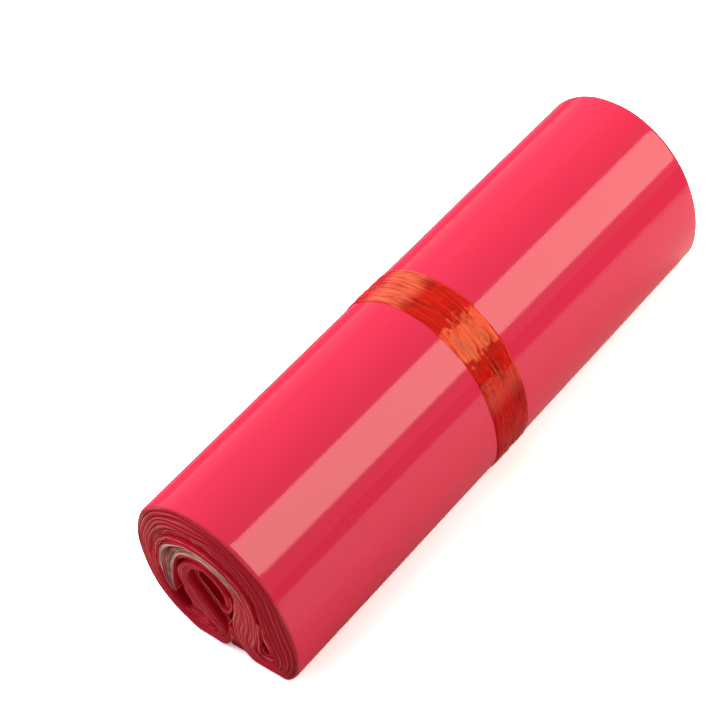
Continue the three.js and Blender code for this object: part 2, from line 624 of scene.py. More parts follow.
@dataclass(frozen=True)
class TapeFinish(Finish):
    """Thin clear tape over the film, glossy and wrinkled, whose shine is amber."""

    name: str = "wrinkled_clear_tape"
    deep: Colour = (0.34, 0.0005, 0.001)
    bright: Colour = (0.88, 0.004, 0.003)
    # painted shade: the darker red low on the right
    shaded: Colour = (0.62, 0.001, 0.002)
    # painted highlight: the orange of crinkles that catch the light
    painted_highlight: Colour = (0.97, 0.17, 0.08)
    amber: Colour = (1.0, 0.30, 0.13)
    refraction: float = 1.66
    shine: float = 1.0
    # a weaker shine low on the right, a painted dark reflection
    dull_shine: float = 0.1
    roughness: float = 0.06

    def shader(self, sketch: Sketch) -> bpy.types.Node:
        """Draws red streaks, a painted highlight on the crinkles on the left of the top, and painted shade
        with a weaker shine low on the right.

        Args:
            sketch: The material's node tree.

        Returns:
            The shader.
        """
        run = sketch.section()
        streak = sketch.speckle(run, (65.0, 900.0, 1.0), 3.0)
        fine = sketch.speckle(run, (170.0, 2400.0, 1.0), 2.0)
        patch = sketch.speckle(run, (60.0, 150.0, 1.0), 2.0)
        side, height = sketch.axes(sketch.place(), "YZ")
        ragged = patch * 0.9 + streak * 0.5 - 0.7
        # painted highlight on the crinkles: from the middle of the top to 22 mm left of it, above 66 mm
        painted_highlight_mask = (side * 170.0 + 0.5 + ragged).clamped() * (4.4 - side * 200.0 + ragged).clamped()
        painted_highlight_mask = painted_highlight_mask * (height * 100.0 - 6.6).clamped()
        # streaks of the painted highlight
        painted_highlight_streaks = (streak * 2.6 + fine * 1.2 + patch * 0.8 - 1.75).clamped()
        # painted shade, and a weaker shine for a painted dark reflection: on the right, below about 42 mm
        shade_and_dark_reflection = (5.5 - height * 120.0 + ragged * 0.8).clamped() * (0.5 - side * 100.0).clamped()
        streaks = (patch * 1.5 + streak * 1.8 + fine * 0.3 - 1.3).clamped()
        red = sketch.blended(streaks, self.deep, self.bright)
        shared = {
            "Roughness": fine * 0.12 + self.roughness,
            "Specular_Tint": (*self.amber, 1.0),
            "Normal": sketch.bumped(streak * 0.75 + fine * 0.25, 0.6, 0.0007),
        }
        glossy = sketch.principled(
            Base_Color=sketch.blended(painted_highlight_mask * (painted_highlight_streaks * 0.75 + 0.2), red, self.painted_highlight),
            IOR=self.refraction,
            Specular_IOR_Level=self.shine,
            **shared,
        )
        dull = sketch.principled(
            Base_Color=sketch.blended(streaks, self.deep, self.shaded),
            Specular_IOR_Level=self.dull_shine,
            **shared,
        )
        return sketch.add("ShaderNodeMixShader", None, shade_and_dark_reflection, glossy.outputs[0], dull.outputs[0])


FREE_END = TapeFinish(name="tape_free_end", deep=(0.42, 0.001, 0.001), bright=(0.82, 0.02, 0.01))


@dataclass(frozen=True)
class FloorFinish(Finish):
    """The white table: it renders white with a soft shadow, and the glossy film mirrors it in colours that
    are a painted reflection.
    """

    name: str = "white_table"
    colour: Colour = (0.82, 0.82, 0.82)
    rendered: Colour = (2.15, 2.4, 2.6)
    slanting: Triple = (0.326, -0.945, 0.0)
    mirrored_metres: float = 0.5
    # painted reflection, what the film mirrors on the right, up to a slanting line, and on the left: red
    # with a pale band on the left for a neighbouring roll and its highlight, dark past the line for a roll
    # lying there, and darker right next to the roll as a painted shadow
    right: Stops = (
        (0.0, (0.30, 0.28, 0.26)), (0.1, (0.74, 0.72, 0.70)), (0.37, (0.78, 0.76, 0.74)),
        (0.44, (0.10, 0.08, 0.08)),
    )
    left: Stops = (
        (0.0, (0.60, 0.06, 0.10)), (0.26, (0.75, 0.05, 0.09)), (0.34, (0.85, 0.34, 0.36)),
        (0.42, (0.75, 0.06, 0.11)), (1.0, (0.45, 0.10, 0.12)),
    )

    def shader(self, sketch: Sketch) -> bpy.types.Node:
        """Draws one colour for the light, one for the camera and two ramps of painted reflection for
        mirrored rays.

        Args:
            sketch: The material's node tree.

        Returns:
            The shader.
        """
        rays = sketch.add("ShaderNodeLightPath")
        place = sketch.place()
        (side,) = sketch.axes(place, "Y")
        per_metre = 1.0 / self.mirrored_metres
        # painted reflection for mirrored rays
        right = sketch.ramp(sketch.towards(place, self.slanting) * per_metre, self.right)
        left = sketch.ramp(side * per_metre, self.left)
        mirrored = sketch.blended((side * 50.0 + 0.5).clamped(), right, left)
        plain = sketch.blended(sketch.signal(rays, "Is Camera Ray"), self.colour, self.rendered)
        colour = sketch.blended(sketch.signal(rays, "Is Glossy Ray"), plain, mirrored)
        return sketch.add("ShaderNodeBsdfDiffuse", None, colour)


# Meshes


class Sheet(Enum):
    """What a thin sheet in the strips' pack is made of."""

    FILM = "film"
    LINER = "liner"


@dataclass
class Ply:
    """One thin sheet that follows a line of the section from the near end of the roll to its far end.

    Attributes:
        outer: The points (across, up) of its outer face, one for each place along the line.
        inner: Those of its inner face.
        run: How far along the line each place is.
        near: How far it stands back from the roll's near end at each place.
        far: How far it stands back from the far end.
        tone: How light its cut edge is at each place, from 0 to 1.
        band: Where it lies in the streaks of the cut edges' finish.
    """

    outer: np.ndarray
    inner: np.ndarray
    run: np.ndarray
    near: np.ndarray
    far: np.ndarray
    tone: np.ndarray
    band: float

    def part(self, kept: slice) -> Ply:
        """The same sheet at some of its places only."""
        rows = (self.outer, self.inner, self.run, self.near, self.far, self.tone)
        return Ply(*(row[kept] for row in rows), self.band)


class PlyMesh:
    """Many plies as closed thin solids in one mesh."""

    def __init__(self, plies: Sequence[Ply]) -> None:
        """Starts the mesh for these plies, and the layers that tell which one a part belongs to."""
        self.plies = plies
        self.mesh = bmesh.new()
        self.ply_layer = self.mesh.verts.layers.int.new("ply")
        self.step_layer = self.mesh.verts.layers.int.new("step")
        self.map_layer = self.mesh.loops.layers.uv.new(SECTION_MAP)
        self.tone_layer = self.mesh.faces.layers.float.new(TONE)

    def build(self, name: str, broad: bpy.types.Material, edge: bpy.types.Material) -> bpy.types.Object:
        """Makes the object: a strip of faces for each sheet's near cut edge, extruded along the roll.

        Args:
            name: The piece's name.
            broad: The finish of the sheets' broad faces.
            edge: The finish of their cut edges.

        Returns:
            The object, at the origin.
        """
        for number, ply in enumerate(self.plies):
            self.lay_strip(number, ply)
        strips = list(self.mesh.faces)
        grown = bmesh.ops.extrude_face_region(self.mesh, geom=strips, use_keep_orig=True)["geom"]
        for vert in parts_of(grown, bmesh.types.BMVert):
            ply = self.plies[vert[self.ply_layer]]
            vert.co.x = (FAR_END - float(ply.far[vert[self.step_layer]])) * MM
        cut = set(strips) | set(parts_of(grown, bmesh.types.BMFace))
        bmesh.ops.recalc_face_normals(self.mesh, faces=list(self.mesh.faces))
        for face in self.mesh.faces:
            face.material_index = int(face in cut)
            face.smooth = face not in cut
            self.paint(face, face in cut)
        crease(self.mesh)
        return new_object(name, self.mesh, (broad, edge))

    def lay_strip(self, number: int, ply: Ply) -> None:
        """Lays one sheet's near cut edge as a strip of faces.

        Args:
            number: The sheet's number.
            ply: The sheet.
        """
        steps = len(ply.run) - 1
        grid = bmesh.ops.create_grid(self.mesh, x_segments=steps, y_segments=1, size=0.5)
        for vert in grid["verts"]:
            step = round((vert.co.x + 0.5) * steps)
            across, up = (ply.outer if vert.co.y > 0 else ply.inner)[step]
            vert[self.ply_layer], vert[self.step_layer] = number, step
            vert.co = row_point(float(across), float(up), NEAR_END + float(ply.near[step]))

    def paint(self, face: bmesh.types.BMFace, is_cut: bool) -> None:
        """Gives a face its tone and its map of the run along the route against depth or length.

        Args:
            face: The face.
            is_cut: Whether it is part of a cut edge.
        """
        for loop in face.loops:
            vert = loop.vert
            ply, step = self.plies[vert[self.ply_layer]], vert[self.step_layer]
            face[self.tone_layer] = float(ply.tone[step])
            beside = vert.co.x
            if is_cut:
                depth = Vector((-vert.co.y, vert.co.z)) - Vector(ply.inner[step] * MM)
                beside = ply.band * MM + depth.length
            loop[self.map_layer].uv = (ply.run[step] * MM, beside)


def parts_of(geometry: Sequence[Any], kind: type) -> list[Any]:
    """The vertices, edges or faces in an operator's result."""
    return [part for part in geometry if isinstance(part, kind)]


def crease(mesh: bmesh.types.BMesh) -> None:
    """Keeps the rims of cut edges and sharp folds crisp under smooth shading.

    Args:
        mesh: The mesh.
    """
    for edge in mesh.edges:
        finishes = {face.material_index for face in edge.link_faces}
        if len(finishes) > 1 or (len(edge.link_faces) == 2 and edge.calc_face_angle(0.0) > SHARP_FOLD):
            edge.smooth = False


def new_object(
    name: str, mesh: bmesh.types.BMesh, materials: Sequence[bpy.types.Material]
) -> bpy.types.Object:
    """Turns a bmesh into an object at the origin.

    Args:
        name: The object's name.
        mesh: The bmesh, which is freed.
        materials: The object's materials in slot order.

    Returns:
        The object.
    """
    data = bpy.data.meshes.new(name)
    mesh.to_mesh(data)
    mesh.free()
    for material in materials:
        data.materials.append(material)
    made = bpy.data.objects.new(name, data)
    bpy.context.scene.collection.objects.link(made)
    return made


def install(piece: bpy.types.Object, slot: Slot, node: str) -> None:
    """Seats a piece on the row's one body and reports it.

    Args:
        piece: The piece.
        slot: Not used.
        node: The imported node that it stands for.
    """
    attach(piece, "root")
    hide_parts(node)
    LOG.info("%s: %d faces", piece.name, len(piece.data.polygons))


# The roll


@dataclass
class LinerPocket:
    """The room in the stack's last leg where the release strips lie, with a few film sheets between them."""

    route: Route
    start: float = 26.6
    end: float = 32.85
    slots: int = 26
    thickness: float = 4.6
    spread: float = 1.5
    skin: float = 1.0
    gap: float = 0.3
    step: float = 1.2
    seed: int = 11
    # painted shade: the backing's low tone behind the strips
    backing_recess: float = 9.0
    backing_tone: float = 0.2

    def half(self, places: np.ndarray) -> np.ndarray:
        """Half the thickness of the strips' pack at places on the route, in millimetres."""
        _, _, stack = self.route.stack_at(places)
        spread = smooth_share(places, 29.3, 30.3)
        room = stack / 2 - (self.skin + self.gap) * (1.0 - 0.45 * spread)
        fill = smooth_share(places, self.start - 0.5, self.start + 1.5)
        return np.minimum(self.thickness / 2 + self.spread * spread, np.maximum(room, 0.3)) * fill

    def share(self, places: np.ndarray) -> np.ndarray:
        """Half the pocket as a share of the stack's thickness at each place."""
        _, _, stack = self.route.stack_at(places)
        half = self.half(places)
        return (half + 0.12 * smooth_share(half, 0.0, 0.5)) / stack

    def plies(self, wanted: Sheet) -> list[Ply]:
        """Works out the pack's sheets of one kind.

        Args:
            wanted: The kind.

        Returns:
            The sheets from the outside in.
        """
        rng = np.random.default_rng(self.seed)
        places, runs = self.route.evenly(self.start, self.end, self.step)
        _, _, thickness = self.route.stack_at(places)
        widths = np.stack([
            rng.uniform(0.5, 1.5) * np.exp(0.5 * Drift(rng, 9.0, 45.0)(runs)) for _ in range(self.slots)
        ])
        edges = np.vstack([np.zeros_like(runs), np.cumsum(widths, axis=0)])
        edges = (edges / edges[-1] * 2.0 - 1.0) * self.half(places) / thickness + 0.5
        fanned = smooth_share(places, 29.6, 30.6)
        crumpled = hump(places, 29.1, 30.2, 0.35)
        made = []
        for number in range(self.slots):
            share = (number + 0.5) / self.slots
            inside = 1.0 - smooth_share(abs(share - 0.5), 0.24, 0.42)
            beat = 0.5 + 0.5 * math.cos(number * 2.1)
            slack = (edges[number + 1] - edges[number]) * (0.1 + 0.25 * fanned)
            recess = 0.35 + 0.5 * rng.uniform(0.0, 1.0) ** 2
            recess += 1.9 * crumpled * inside * rng.uniform(0.3, 1.3) + 0.5 * fanned * beat * inside
            tone = 0.98 - 0.42 * inside + rng.uniform(-0.16, 0.16) + 0.12 * Drift(rng, 8.0, 40.0)(runs)
            tone -= 0.3 * crumpled * inside + 0.22 * fanned * beat
            near, far = (recess + 0.25 * Drift(rng, 9.0, 50.0)(runs) for _ in range(2))
            first = int(rng.uniform(0.0, 9.0) + 8.0 * inside)
            last = len(places) - int(rng.uniform(0.0, 6.0) + 14.0 * inside * rng.uniform(0.0, 1.0))
            kind = Sheet.FILM if number % 5 == 2 and 0.1 < share < 0.9 else Sheet.LINER
            if kind is Sheet.FILM:
                first = int(np.searchsorted(places, 29.2 + rng.uniform(0.0, 0.4)))
            if kind is wanted:
                ply = Ply(
                    outer=self.route.face(places, edges[number] + slack),
                    inner=self.route.face(places, edges[number + 1] - slack),
                    run=runs,
                    near=np.maximum(near, 0.15),
                    far=np.maximum(far, 0.15),
                    tone=np.clip(tone, 0.0, 1.0),
                    band=STRIP_BAND + number * BAND_STEP,
                )
                made.append(ply.part(slice(first, last)))
        return made

    def backing(self) -> Ply:
        """The film that is crumpled tight behind the ends of the strips, its low tone painted shade."""
        places, runs = self.route.evenly(self.start, self.end, self.step)
        share = self.share(places)
        return Ply(
            outer=self.route.face(places, 0.5 - share),
            inner=self.route.face(places, 0.5 + share),
            run=runs,
            near=np.full(len(runs), self.backing_recess),
            far=np.full(len(runs), self.backing_recess),
            tone=np.full(len(runs), self.backing_tone),
            band=BACKING_BAND,
        )

    def build(self, liner: bpy.types.Material, edge: bpy.types.Material) -> bpy.types.Object:
        """Makes the strips from the finishes of their faces and of their edges."""
        return PlyMesh(self.plies(Sheet.LINER)).build("release_strips", liner, edge)


@dataclass
class BagStack:
    """The bags inside the roll: sheets that follow the stack's route side by side, in bundles."""

    route: Route
    pocket: LinerPocket
    bundles: int = 6
    bundle_sheets: int = 9
    step: float = 1.6
    cover: float = 0.34
    seed: int = 7
    bundle_tones: tuple[float, ...] = (-0.3, 0.3, 0.45, 0.05, -0.15, 0.25, -0.1, -0.45, -0.5)
    bundle_recess: tuple[float, ...] = (0.25, 0.05, 0.0, 0.12, 0.2, 0.1, 0.25, 0.42, 0.5)
    # station, tone, contrast, gap share, sway; the lower tones at the bottom of the left lobe by the floor
    # (stations 7.5 to 11) and on the right of the crown (17 to 22) are partly painted shade
    looks: tuple[tuple[float, float, float, float, float], ...] = (
        (0.0, 0.62, 0.8, 0.3, 0.0), (2.5, 0.6, 1.0, 0.3, 0.0), (4.0, 0.38, 1.1, 0.3, 0.02),
        (7.5, 0.34, 1.1, 0.3, 0.03), (9.0, 0.26, 1.1, 0.3, 0.02), (11.0, 0.34, 1.1, 0.3, 0.0),
        (12.5, 0.72, 0.8, 0.28, 0.01), (14.0, 0.68, 0.9, 0.3, 0.01), (15.5, 0.44, 0.9, 0.32, 0.0),
        (17.0, 0.16, 0.7, 0.3, 0.0), (20.0, 0.1, 0.7, 0.3, 0.0), (22.0, 0.26, 0.8, 0.28, 0.02),
        (23.4, 0.44, 0.7, 0.18, 0.04), (25.0, 0.58, 0.6, 0.14, 0.07), (26.8, 0.6, 0.6, 0.14, 0.06),
        (28.0, 0.6, 0.7, 0.2, 0.01), (29.0, 0.52, 0.9, 0.3, 0.0), (33.0, 0.52, 0.9, 0.3, 0.0),
    )

    def look(self, places: np.ndarray, column: int) -> np.ndarray:
        """One column of the table of looks at places on the route."""
        table = np.array(self.looks)
        return np.interp(places, table[:, 0], table[:, column])

    def boundaries(self, places: np.ndarray, runs: np.ndarray, rng: np.random.Generator) -> np.ndarray:
        """How deep each sheet's slot starts and ends in the stack, along the route.

        Args:
            places: Places in stations.
            runs: The same places in millimetres.
            rng: Where the random numbers come from.

        Returns:
            One row for each boundary between slots, from 0 to 1.
        """
        count = self.bundles * self.bundle_sheets
        shared = [Drift(rng, 25.0, 140.0)(runs) for _ in range(self.bundles)]
        widths = np.stack([
            rng.uniform(0.7, 1.3)
            * np.exp(0.35 * Drift(rng, 14.0, 90.0)(runs) + 0.3 * shared[k // self.bundle_sheets])
            for k in range(count)
        ])
        edges = np.vstack([np.zeros_like(runs), np.cumsum(widths, axis=0)])
        edges /= edges[-1]
        ripple = Drift(rng, 13.0, 30.0)
        shifts = np.stack([ripple(runs + 9.0 * depth.mean()) for depth in edges])
        edges = edges + shifts * self.look(places, 4) * 4.0 * edges * (1.0 - edges)
        _, _, thickness = self.route.stack_at(places)
        cover = self.cover / thickness
        return cover + edges * (1.0 - cover)

    @staticmethod
    def set_back(depth: float, places: np.ndarray, far: bool) -> np.ndarray:
        """How far the sheets at a depth stand back from the roll's end, by region.

        Args:
            depth: From 0 outside to 1 inside.
            places: Places in stations.
            far: Whether this is the far end.

        Returns:
            A recess for each place, in millimetres.
        """
        core = hump(places, 3.2, 7.4, 0.9) * (1.0 - smooth_share(depth, 0.3, 0.42))
        curl = hump(places, 0.0, 2.6, 0.8) * (1.0 - smooth_share(depth, 0.4, 0.6))
        crown = hump(places, 13.9, 18.4, 0.9) * smooth_share(depth, 0.84, 0.9)
        tail = hump(places, 30.2, 33.0, 0.6) * smooth_share(depth, 0.0, 0.2)
        tail = tail * (1.0 - smooth_share(depth, 0.3, 0.5))
        return (2.8 if far else 3.6) * core + 1.4 * curl + 1.7 * crown + 1.4 * tail

    def plies(self) -> list[Ply]:
        """Works out every sheet.

        Returns:
            The sheets from the outside in.
        """
        rng = np.random.default_rng(self.seed)
        places, runs = self.route.evenly(0.0, self.route.last, self.step)
        edges = self.boundaries(places, runs, rng)
        pocket = self.pocket.share(places)
        tone, contrast, gap = (self.look(places, column) for column in (1, 2, 3))
        half = self.bundles * self.bundle_sheets // 2
        made = []
        for number in range(2 * half):
            top, bottom = edges[number], edges[number + 1]
            depth = float((top + bottom).mean() / 2)
            slack = (bottom - top) * gap / 2
            place = number % self.bundle_sheets
            slip = 0.5 * depth
            first = int(np.searchsorted(places, slip + rng.uniform(0.0, 0.35)))
            last = int(np.searchsorted(places, self.route.last - 0.5 + slip - rng.uniform(0.0, 0.5)))
            steps = 0.15 + (self.bundle_recess[place] + rng.uniform(-0.08, 0.22)) * (0.25 + 0.75 * contrast)
            near = steps + 0.12 * Drift(rng, 25.0, 160.0)(runs) + self.set_back(depth, places, False)
            far = steps + 0.16 * Drift(rng, 25.0, 160.0)(runs) + self.set_back(depth, places, True)
            step_tone = self.bundle_tones[place] + rng.uniform(-0.16, 0.16)
            step_tone = step_tone + 0.14 * Drift(rng, 18.0, 90.0)(runs)
            outer, inner = (
                self.around_pocket(line, pocket, edges[half], number < half)
                for line in (top + slack, bottom - slack)
            )
            ply = Ply(
                outer=self.route.face(places, outer),
                inner=self.route.face(places, inner),
                run=runs,
                near=np.maximum(near, 0.08),
                far=np.maximum(far, 0.08),
                tone=np.clip(tone + contrast * step_tone, 0.0, 1.0),
                band=number * BAND_STEP,
            )
            made.append(ply.part(slice(first, max(last, first + 4))))
        return made

    @staticmethod
    def around_pocket(
        depth: np.ndarray, pocket: np.ndarray, middle: np.ndarray, outside: bool
    ) -> np.ndarray:
        """Moves a line in the stack out of the strips' pocket, to the side it is on.

        Args:
            depth: The line's depth at each place.
            pocket: Half the pocket's share of the stack at each place.
            middle: The depth of the line between the stack's two halves at each place.
            outside: Whether the line is in the outer half.

        Returns:
            The new depth at each place.
        """
        centre = middle + (0.5 - middle) * smooth_share(pocket, 0.0, 0.05)
        if outside:
            return depth / middle * (centre - pocket)
        return 1.0 - (1.0 - depth) / (1.0 - middle) * (1.0 - centre - pocket)

    def build(self, film: bpy.types.Material, edge: bpy.types.Material) -> bpy.types.Object:
        """Makes the piece from the film's and the cut edges' finishes."""
        plies = [*self.plies(), *self.pocket.plies(Sheet.FILM), self.pocket.backing()]
        return PlyMesh(plies).build("stacked_bags", film, edge)


@dataclass
class SlackSheets:
    """Slack sheets that buckle in the hollows of the lobes, in the cleft, and under the crown."""

    route: Route
    thickness: float = 0.26
    pitch: float = 0.46
    step: float = 0.9
    tone: float = 0.62
    seed: int = 21
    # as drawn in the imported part: how many sheets, how far set back, and points (across, up) of the line
    lines: tuple[tuple[int, float, tuple[tuple[float, float], ...]], ...] = (
        (2, 0.3, ((-0.5, 28.0), (1.8, 26.1), (4.1, 26.9), (6.4, 30.5), (7.4, 34.6), (7.9, 39.0))),
        (1, 0.5, ((0.9, 18.0), (3.3, 21.5), (6.2, 26.6), (8.0, 32.0), (8.6, 37.5))),
        (3, 0.4, ((-25.6, 11.2), (-19.5, 7.5), (-14.0, 5.7), (-10.2, 6.3), (-9.4, 8.4))),
        (3, 0.8, ((-23.0, 11.6), (-18.4, 9.1), (-14.4, 7.5), (-11.4, 8.6))),
        (2, 0.4, ((-21.4, 13.4), (-18.2, 10.9), (-15.4, 9.4), (-13.0, 10.6), (-11.0, 9.0))),
        (2, 0.7, ((-20.6, 15.6), (-17.8, 12.6), (-16.1, 13.4), (-14.4, 11.4), (-12.6, 12.6), (-11.4, 10.8))),
        (2, 1.4, ((-21.0, 20.0), (-19.2, 16.0), (-17.0, 14.6), (-15.2, 15.4), (-14.0, 13.6))),
        (2, 1.0, ((-21.9, 27.0), (-21.2, 21.6), (-19.6, 18.0), (-17.6, 16.6))),
        (4, 0.25, ((19.7, 31.5), (18.4, 27.0), (17.0, 22.0), (16.6, 18.4), (15.5, 13.6), (14.0, 10.4))),
        (4, 0.5, ((21.5, 30.5), (21.4, 24.0), (22.2, 18.0), (23.1, 13.4), (24.6, 10.2))),
        (2, 0.8, ((19.9, 28.0), (19.6, 23.5), (20.1, 18.6), (21.0, 14.4))),
        (3, 0.6, ((14.9, 12.0), (14.8, 8.6), (17.2, 6.9), (21.2, 7.3), (23.2, 10.5))),
        (2, 0.9, ((16.8, 13.2), (16.8, 10.4), (18.4, 9.1), (20.8, 9.6), (22.0, 12.0))),
        (3, 0.3, ((0.3, 17.0), (0.8, 12.5), (0.4, 8.8), (-0.6, 6.4))),
        (3, 0.5, ((4.1, 6.2), (3.4, 8.6), (2.8, 12.4), (2.8, 17.0))),
    )
    # crumpled tight further in, standing for film there and closing hollows and the cleft with dark sheets
    # whose low tones are painted shade: set back, tone, and pairs of points (across, up), (across, up) on
    # both sides
    crumples: tuple[tuple[float, float, tuple[tuple[float, float, float, float], ...]], ...] = (
        (13.0, 0.2, (
            (9.6, 38.6, 6.4, 37.1), (8.9, 43.6, 5.2, 42.1), (4.6, 49.0, 1.4, 46.0), (-1.4, 52.0, -2.2, 48.4),
            (-6.8, 52.6, -5.7, 49.2), (-12.1, 51.5, -10.7, 48.6), (-16.4, 48.6, -15.0, 46.0),
            (-20.0, 44.4, -18.0, 43.0), (-22.9, 37.9, -19.8, 37.9), (-25.4, 31.4, -19.6, 32.8),
            (-26.6, 24.3, -17.0, 25.4), (-27.4, 18.0, -14.2, 20.2), (-29.0, 15.4, -11.6, 16.4),
            (-21.6, 7.4, -9.2, 12.8), (-13.6, 4.8, -8.0, 9.4),
        )),
        (8.0, 0.2, (
            (18.8, 37.4, 21.3, 37.4), (17.8, 30.0, 22.0, 30.0), (15.0, 21.4, 22.5, 22.9),
            (12.8, 13.6, 23.1, 15.7), (11.9, 10.0, 23.4, 11.4), (12.8, 7.6, 23.1, 6.6),
        )),
        (48.0, 0.3, (
            (-6.4, 44.2, -4.2, 44.2), (-9.4, 42.6, -1.2, 42.4), (-11.9, 39.2, 1.2, 38.0),
            (-12.2, 36.2, 2.3, 34.2), (-10.2, 32.0, 1.9, 30.0), (-6.6, 26.4, 5.2, 25.0),
            (-3.4, 21.0, 3.9, 20.0), (-1.2, 16.4, 3.2, 15.6), (-0.3, 12.2, 3.0, 12.2),
        )),
        (1.4, 0.0, (
            (-1.0, 16.0, 3.2, 15.6), (-0.2, 11.0, 3.0, 11.0), (-1.2, 5.8, 3.6, 6.4), (-2.4, 3.2, 5.0, 4.0),
            (-2.9, 2.0, 5.6, 2.4), (-2.4, 1.3, 5.2, 1.6),
        )),
    )
    # the same under the crown, a dark fill whose low tone is painted shade: set back, tone, first and last
    # station
    crown_crumple: tuple[float, float, float, float] = (5.0, 0.2, 12.9, 19.4)
    # under the crown: share of the gap down to the last leg, set back, first and last station
    crown_sheets: tuple[tuple[float, float, float, float], ...] = (
        (0.06, 1.9, 13.4, 18.4), (0.16, 2.0, 13.2, 18.6), (0.26, 2.1, 13.4, 18.2), (0.36, 2.1, 13.3, 18.5),
        (0.46, 2.2, 13.5, 18.1), (0.56, 0.15, 12.9, 18.8), (0.64, 0.2, 13.0, 18.2), (0.76, 0.8, 12.8, 17.4),
        (0.88, 0.6, 12.9, 18.0),
    )
    # how wide that gap is, in millimetres, at stations of the crown
    crown_gap: tuple[tuple[float, float], ...] = (
        (12.5, 1.5), (13.0, 1.7), (13.5, 2.5), (14.0, 3.3), (14.5, 4.1), (15.0, 4.8), (15.5, 4.5),
        (17.0, 4.4), (17.5, 3.7), (18.0, 2.7), (18.5, 1.6), (19.0, 1.5),
    )

    def plies(self) -> list[Ply]:
        """Works out every slack sheet.

        Returns:
            The sheets.
        """
        rng = np.random.default_rng(self.seed)
        made = []
        for count, recess, line in self.lines:
            spots = self.smooth_line(np.array(line) - (DRAWN_MIDDLE, 0.0))
            for number in range(count):
                first, last = int(rng.uniform(0, 3)), len(spots) - int(rng.uniform(0, 3))
                shift = number * self.pitch * (1.0 + 0.3 * Drift(rng, 8.0, 30.0)(np.arange(len(spots))))
                away = spots + unit_normals(np.gradient(spots, axis=0)) * shift[:, None]
                made.append(self.ply(away[first:last], recess + rng.uniform(-0.15, 0.35), rng, len(made)))
        gap_at, gaps = np.array(self.crown_gap).T
        for share, recess, start, end in self.crown_sheets:
            places, _ = self.route.evenly(start, end, self.step)
            middle, normal, thickness = self.route.stack_at(places)
            below = thickness / 2 + share * np.interp(places, gap_at, gaps)
            made.append(self.ply(middle - normal * below[:, None], recess, rng, len(made)))
        for recess, tone, pairs in self.crumples:
            sides = np.array(pairs) - (DRAWN_MIDDLE, 0.0, DRAWN_MIDDLE, 0.0)
            made.append(self.crumple(sides[:, :2], sides[:, 2:], recess, tone, len(made)))
        recess, tone, start, end = self.crown_crumple
        places, _ = self.route.evenly(start, end, self.step)
        middle, normal, thickness = self.route.stack_at(places)
        top = middle - normal * (thickness / 2 - 0.2)[:, None]
        bottom = top - normal * (np.interp(places, gap_at, gaps) + 0.4)[:, None]
        made.append(self.crumple(top, bottom, recess, tone, len(made)))
        return made

    @staticmethod
    def crumple(outer: np.ndarray, inner: np.ndarray, recess: float, tone: float, number: int) -> Ply:
        """Sheets crumpled so tight that they fill the room between two lines.

        Args:
            outer: The points of one line.
            inner: The points of the other line.
            recess: How far they stand back from the roll's ends, in millimetres.
            tone: How light their edges are, from 0 to 1.
            number: Their number among the slack sheets.

        Returns:
            The sheets as one ply.
        """
        run = run_along(outer)
        return Ply(
            outer=outer,
            inner=inner,
            run=run,
            near=np.full(len(run), recess),
            far=np.full(len(run), recess),
            tone=np.full(len(run), tone),
            band=SLACK_BAND + number * BAND_STEP,
        )

    def ply(self, spots: np.ndarray, recess: float, rng: np.random.Generator, number: int) -> Ply:
        """One slack sheet.

        Args:
            spots: The points of its line.
            recess: How far it stands back from the roll's ends, in millimetres.
            rng: Where the random numbers come from.
            number: Its number among the slack sheets.

        Returns:
            The sheet.
        """
        run = np.arange(len(spots)) * self.step
        half = self.thickness / 2 * (1.0 + 0.25 * Drift(rng, 6.0, 20.0)(run))[:, None]
        aside = unit_normals(np.gradient(spots, axis=0)) * half
        near, far = (np.maximum(recess + 0.25 * Drift(rng, 8.0, 30.0)(run), 0.1) for _ in range(2))
        tone = self.tone + rng.uniform(-0.2, 0.2) + 0.2 * Drift(rng, 6.0, 24.0)(run)
        return Ply(
            outer=spots + aside,
            inner=spots - aside,
            run=run,
            near=near,
            far=far,
            tone=np.clip(tone, 0.0, 1.0),
            band=SLACK_BAND + number * BAND_STEP,
        )

    def smooth_line(self, points: np.ndarray) -> np.ndarray:
        """A line through points, rounded and evenly stepped.

        Args:
            points: The points.

        Returns:
            The line's own points.
        """
        for _ in range(3):
            quarter = points[:-1] * 0.75 + points[1:] * 0.25
            three = points[:-1] * 0.25 + points[1:] * 0.75
            middle = np.empty((2 * len(quarter), 2))
            middle[0::2], middle[1::2] = quarter, three
            points = np.vstack([points[:1], middle, points[-1:]])
        run = run_along(points)
        return respaced(points, run, np.linspace(0.0, run[-1], max(4, round(run[-1] / self.step))))

    def build(self, film: bpy.types.Material, edge: bpy.types.Material) -> bpy.types.Object:
        """Makes the piece from the film's and the cut edges' finishes."""
        return PlyMesh(self.plies()).build("slack_bags", film, edge)


